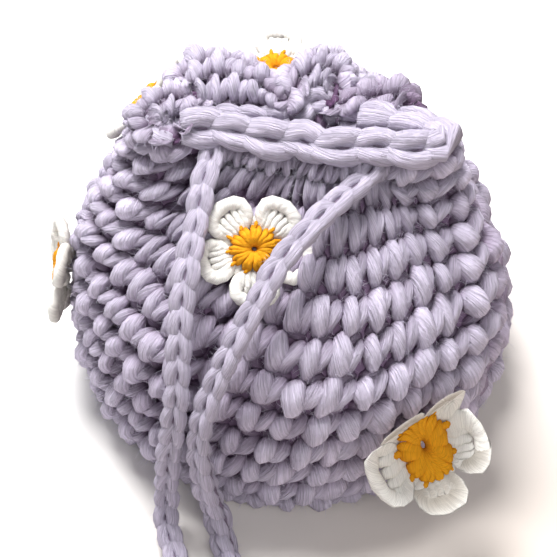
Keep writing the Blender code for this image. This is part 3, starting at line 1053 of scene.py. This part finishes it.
def shell_mesh(name, outer, inner):
    """A closed mesh between two grids of points."""
    length, width, _ = outer.shape
    points = np.concatenate([outer.reshape(-1, 3), inner.reshape(-1, 3)])
    points[:, 2] = np.maximum(points[:, 2], LINING_FLOOR)
    grid = np.arange(length * width).reshape(length, width)
    under = grid + length * width
    faces = []
    for table, order in ((grid, (0, 1, 2, 3)), (under, (3, 2, 1, 0))):
        corners = (table[:-1, :-1], table[1:, :-1], table[1:, 1:], table[:-1, 1:])
        faces.append(np.stack([corners[k] for k in order], axis=-1).reshape(-1, 4))
    rim = [*grid[:-1, 0], *grid[-1, :-1], *grid[:0:-1, -1], *grid[0, :0:-1]]
    below = [*under[:-1, 0], *under[-1, :-1], *under[:0:-1, -1], *under[0, :0:-1]]
    for index in range(len(rim)):
        after = (index + 1) % len(rim)
        faces.append(np.array([[rim[after], rim[index], below[index], below[after]]]))
    mesh = bpy.data.meshes.new(name)
    mesh.from_pydata(points, [], np.concatenate(faces).tolist())
    # Painted shade: the whole lining gets the same low share of the lit colour.
    depth = mesh.attributes.new("depth", "FLOAT", "POINT")
    depth.data.foreach_set("value", np.full(len(points), LINING_LIT_SHARE, np.float32))
    mesh.shade_smooth()
    return mesh


def lay_round(strands, around, level, height):
    """The stitches of one round of the pouch, or of a part of it."""
    levels = np.full(len(around), level)
    lay_stitches(strands, on_pouch, around, levels, 360 / STITCHES, height)


def add_wall(yarn, fuzz):
    """The rounds of stitches below the hinge line."""
    strands = Strands()
    heights = np.gradient(WALL_ROUNDS + NECK_ROUNDS)
    for index, level in enumerate(WALL_ROUNDS):
        lay_round(strands, round_positions(index), level, heights[index])
    wall = add_piece("wall_stitches", strands.mesh("wall_stitches"), yarn)
    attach(wall, "pouch")
    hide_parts("side_wall")
    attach(add_fuzz("wall_fuzz", strands, WALL_FIBRES, FABRIC_FUZZ, fuzz, 1), "pouch")
    top = HINGE_Z + LINING_OVERLAP
    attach(add_lining("wall_lining", 0, 360, WALL_FOOT_Z, top, yarn), "pouch")


# Stitches in each round of the base, from its edge to the middle.
BASE_ROUNDS = (36, 30, 24, 18, 12, 6)
BASE_FIRST = 0.0042
BASE_STEP = 0.0076
BASE_LEAN = 0.3
BASE_GAIN = 0.8


def add_base(yarn):
    """Flat rounds under the pouch, six stitches fewer in each one towards the middle."""
    strands = Strands()
    for index, count in enumerate(BASE_ROUNDS):
        around = (np.arange(count) + BASE_LEAN * index) * 360 / count
        inward = np.full(count, BASE_FIRST + BASE_STEP * index)
        lay_stitches(strands, on_base, around, inward, 360 / count, BASE_STEP, BASE_GAIN)
    base = add_piece("base_stitches", strands.mesh("base_stitches"), yarn)
    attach(base, "pouch")
    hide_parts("base")


def join_to_pouch(piece, body):
    """A piece on the pouch is attached to it; a piece of a lobe only has its transform baked into
    its mesh.
    """
    if body == "pouch":
        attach(piece, body)
    else:
        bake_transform(piece)


# Where the tails pass under the front edge, no stitch stands in the eyelet round: azimuths and
# half width of the gap in degrees.
CORD_EXITS = (207, 314)
EXIT_HALF = 6


def add_neck_section(name, body, first, last, posts, yarn, fuzz):
    """The rounds above the hinge line between two pleats."""
    strands = Strands()
    levels = NECK_ROUNDS + (EYELET_ROUND,)
    if name != "front":
        levels += ROLL_ROUNDS
    heights = np.gradient(WALL_ROUNDS + levels)[len(WALL_ROUNDS) :]
    for index, level in enumerate(levels):
        around = round_positions(index + len(WALL_ROUNDS))
        around = around[(around - first) % 360 < last - first]
        if level == EYELET_ROUND:
            for place in CORD_EXITS:
                around = around[np.abs((around - place + 180) % 360 - 180) > EXIT_HALF]
        lay_round(strands, around, level, heights[index])
    title = f"neck_stitches_{name}"
    piece = add_piece(title, strands.mesh(title), yarn)
    join_to_pouch(piece, body)
    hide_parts(f"shoulder_{name}")
    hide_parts(*(f"eyelet_post_{name}_{number + 1}" for number in range(posts)))
    title = f"neck_fuzz_{name}"
    count = int(NECK_FIBRES * ((last - first) / 360))
    join_to_pouch(add_fuzz(title, strands, count, FABRIC_FUZZ, fuzz, hash_of(name)), body)
    low = HINGE_Z - LINING_OVERLAP
    high = EYELET_ROUND + LINING_ABOVE_EYELETS
    join_to_pouch(add_lining(f"neck_lining_{name}", first, last, low, high, yarn), body)


# The braided edge: its width, how far the front one is sunk, its core as a share of its width,
# the spacing of its points in degrees, and the slope that its V's face.
EDGE_WIDTH = 0.0070
FRONT_EDGE_WIDTH = 0.0094
FRONT_EDGE_SUNK = 0.0014
EDGE_CORE = 0.27
EDGE_STEP = 4
EDGE_FACING = 0.7


def add_rim_edge(name, body, first, last, yarn, fuzz):
    """The braided edge above the eyelets."""
    azimuths = np.linspace(first, last, max(5, round((last - first) / EDGE_STEP)))
    front = name == "front"
    level = NECK_Z if front else ROLL_EDGE
    points, normals = on_pouch(azimuths, np.full(len(azimuths), level))
    if front:
        points = points - unit(normals * (1, 1, 0)) * FABRIC / 2
        points[:, 2] = EDGE_Z - FRONT_EDGE_SUNK
    outward = unit(normals[0] * (1, 1, 0.2))
    facing = outward * EDGE_FACING + np.array([0, 0, EDGE_FACING])
    width = FRONT_EDGE_WIDTH if front else EDGE_WIDTH
    strands = Strands()
    route = add_chain(strands, points, facing, width)
    add_core(strands, route, outward, EDGE_CORE * width)
    title = f"rim_chain_{name}"
    edge = add_piece(title, strands.mesh(title), yarn)
    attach(edge, body)
    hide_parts(f"rim_edge_{name}")
    count = int(EDGE_FIBRES * (last - first) / 360)
    seed = hash_of(name) + 5
    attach(add_fuzz(f"rim_fuzz_{name}", strands, count, CORD_FUZZ, fuzz, seed), body)


# ---------- drawstring


def add_tail(side, points, yarn, fuzz):
    """One end of the drawstring, from inside the neck to its knot."""
    body = f"{side}_cord"
    strands = Strands()
    route = add_chain(strands, points, (0, 0, 1))
    add_core(strands, route, (0, 0, 1), CORD_CORE)
    tail = add_piece(f"{side}_tail_chain", strands.mesh(f"{side}_tail"), yarn)
    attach(tail, body)
    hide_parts(f"{side}_tail")
    hairs = add_fuzz(f"{side}_tail_fuzz", strands, TAIL_FIBRES, CORD_FUZZ, fuzz, 11)
    hairs.parent = tail
    knot = add_knot(side, route[-1], yarn)
    path = [tuple(map(float, point)) for point in route[::6]]
    path.append(tuple(map(float, route[-1])))


# The knot: radius of its loops, direction and slope of each loop in radians, half distance
# between the two strands that run through it, and reach of the tuft beyond its middle.
KNOT_RADIUS = 0.0029
KNOT_LOOPS = ((0.0, 0.35), (1.2, -0.3), (2.2, 0.2))
KNOT_SHIFT = 0.0011
KNOT_TUFT = 0.0075


def add_knot(side, end, yarn):
    """An overhand knot: one strand wound round itself, with a short tuft."""
    low, high = (np.array(corner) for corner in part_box(f"{side}_knot"))
    middle = (low + high) / 2
    strands = Strands()
    turns = np.linspace(0, 2 * math.pi, 13)[:-1]
    for tilt, lean in KNOT_LOOPS:
        across = unit(np.array([math.cos(tilt), math.sin(tilt), lean]))
        first = unit(np.cross(across, (0, 0, 1.0))) * KNOT_RADIUS
        second = np.cross(across, first)
        loop = [middle + first * math.cos(t) + second * math.sin(t) for t in turns]
        strand_tube(strands, [*loop, loop[0]], 0.0015, 10, 0.0, plies=3, twist=4.0)
    along = unit(middle - end)
    across = np.cross(along, (0, 0, 1.0))
    for shift in (-KNOT_SHIFT, KNOT_SHIFT):
        tuft = middle + along * KNOT_TUFT + across * shift * 1.5
        line = [end - along * 0.003, end + across * shift, middle, tuft]
        strand_tube(strands, line, 0.0014, 10, 0.3, plies=3, twist=4.0)
    strands.points = [np.maximum(points, (-1, -1, TABLE_GAP)) for points in strands.points]
    knot = add_piece(f"{side}_knot_wound", strands.mesh(f"{side}_knot"), yarn)
    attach(knot, f"{side}_cord")
    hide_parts(f"{side}_knot")
    return knot


# The drawstring inside the neck, seen from above, and the sections it runs through.
RING_ROUTE = (
    (0.0190, 0.0060),
    (0.0172, 0.0125),
    (0.0110, 0.0170),
    (0.0020, 0.0190),
    (-0.0080, 0.0190),
    (-0.0165, 0.0165),
    (-0.0205, 0.0108),
)
# The closed folds press the cord flatter and lower than it lies in the frame.
RING_PRESSED = 0.90
RING_SUNK = 0.008
RING_SECTIONS = (("right", 4, 47), ("rear_right", 47, 98), ("rear_left", 98, 155))


def add_ring(yarn):
    """The drawstring inside the neck, one length for each lobe."""
    fine = even_route([(*point, CORD_Z) for point in RING_ROUTE], 0.001)
    azimuths = np.degrees(np.arctan2(fine[:, 1], fine[:, 0])) % 360
    fine = fine * (1, RING_PRESSED, 1) - (0, 0, RING_SUNK)
    for name, first, last in RING_SECTIONS:
        points = fine[(azimuths > first) & (azimuths < last)]
        strands = Strands()
        route = add_chain(strands, points[::3], (0, 0, 1))
        add_core(strands, route, (0, 0, 1), CORD_CORE)
        title = f"ring_chain_{name}"
        piece = add_piece(title, strands.mesh(title), yarn)
        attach(piece, f"{name}_lobe")
        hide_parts(f"drawstring_{name}")


# ---------- camera and light


TARGET = Vector((-0.0038, -0.0059, 0.0400))
DISTANCE = 0.80
FRAME_WIDTH = 0.1448
SENSOR = 36
ELEVATION = 50
LIGHT_SIZE = 0.50
LIGHT_TARGET = Vector((0, 0, 0.04))
# Name, place, power and colour of each light.
LIGHTS = (
    ("window", (-0.16, 0.30, 0.95), 19.5, (1.0, 0.99, 0.98)),
    ("fill", (0.22, -0.75, 0.75), 3.9, (1.0, 0.98, 0.96)),
)
ROOM_LIGHT = 0.28
ROOM_COLOUR = (0.95, 0.97, 1.0, 1)
# Painted shade on the table, darker towards the lower right as the light falls off: how fast it
# changes across the table, and its value in the middle.
TABLE_SHADE_SLOPE = -4.2
TABLE_SHADE_MIDDLE = 0.80
TABLE_SHADE = (0.56, 0.47, 0.40)
TABLE_LIT = (0.86, 0.85, 0.84)


def add_camera():
    data = bpy.data.cameras.new("camera")
    data.sensor_width = SENSOR
    data.lens = SENSOR * DISTANCE / FRAME_WIDTH
    data.clip_start = 0.01
    data.clip_end = 5
    camera = bpy.data.objects.new("camera", data)
    bpy.context.scene.collection.objects.link(camera)
    rise = math.radians(ELEVATION)
    away = Vector((0, -math.cos(rise), math.sin(rise)))
    camera.location = TARGET + away * DISTANCE
    camera.rotation_euler = away.to_track_quat("Z", "Y").to_euler()
    bpy.context.scene.camera = camera


def add_light(name, place, power, colour):
    data = bpy.data.lights.new(name, "AREA")
    data.shape = "DISK"
    data.size = LIGHT_SIZE
    data.energy = power
    data.color = colour
    light = bpy.data.objects.new(name, data)
    light.location = place
    light.rotation_euler = (Vector(place) - LIGHT_TARGET).to_track_quat("Z", "Y").to_euler()
    bpy.context.scene.collection.objects.link(light)


def add_stage():
    """The table and the light of the room."""
    bpy.ops.mesh.primitive_plane_add(size=6)
    floor = bpy.context.object
    floor.name = "floor"
    tree, shader, paper = new_material("pale_table", {"Roughness": 0.7})
    grain = node(tree, "ShaderNodeTexNoise", (-900, 200), Scale=60.0)
    place = node(tree, "ShaderNodeTexCoord", (-1100, 0))
    split = node(tree, "ShaderNodeSeparateXYZ", (-900, 0))
    tree.links.new(place.outputs["Object"], split.inputs[0])
    # Painted shade: the table's colour runs from lit to shaded across it, with a little grain.
    towards = math_node(tree, "SUBTRACT", (-700, 0), split.outputs[0], split.outputs[1])
    painted_falloff = math_node(tree, "MULTIPLY_ADD", (-550, 0), towards, TABLE_SHADE_SLOPE, TABLE_SHADE_MIDDLE)
    grain_and_painted_falloff = math_node(tree, "MULTIPLY_ADD", (-400, 0), grain.outputs["Fac"], 0.05, painted_falloff)
    colour = ramp_node(tree, (-250, 0), grain_and_painted_falloff, TABLE_SHADE, TABLE_LIT)
    tree.links.new(colour, shader.inputs["Base Color"])
    floor.data.materials.append(paper)
    world = bpy.data.worlds.new("room")
    world.use_nodes = True
    set_inputs(world.node_tree.nodes["Background"], {"Color": ROOM_COLOUR, "Strength": ROOM_LIGHT})
    bpy.context.scene.world = world
    for light in LIGHTS:
        add_light(*light)
    bpy.context.scene.view_settings.view_transform = "Standard"


# Each yarn: lit colour, painted shade colour between the strands, plies, twist and strength of the
# relief.
LAVENDER = ((0.68, 0.62, 0.77), (0.16, 0.075, 0.17), 3, 0.3, 1.0)
WHITE = ((0.86, 0.84, 0.80), (0.42, 0.38, 0.33), 2, 1.5, 0.5)
YELLOW = ((0.83, 0.36, 0.015), (0.42, 0.10, 0.003), 2, 1.5, 0.5)
FUZZ_COLOUR = (0.70, 0.66, 0.80)


def main():
    add_camera()
    group = yarn_group()
    yarn = fabric_material("lavender_yarn", group, *LAVENDER)
    white = fabric_material("white_cotton", group, *WHITE)
    yellow = fabric_material("yellow_cotton", group, *YELLOW)
    fuzz = fuzz_material("lavender_fuzz", FUZZ_COLOUR)
    add_tail("left", LEFT_TAIL_ROUTE, yarn, fuzz)
    add_tail("right", RIGHT_TAIL_ROUTE, yarn, fuzz)
    add_ring(yarn)
    add_base(yarn)
    add_wall(yarn, fuzz)
    for name, body, first, last, posts in SECTIONS:
        add_neck_section(name, body, first, last, posts, yarn, fuzz)
        add_rim_edge(name, body, first, last, yarn, fuzz)
    for row in DAISIES:
        add_daisy(*row, white, yellow)
    add_stage()


main()
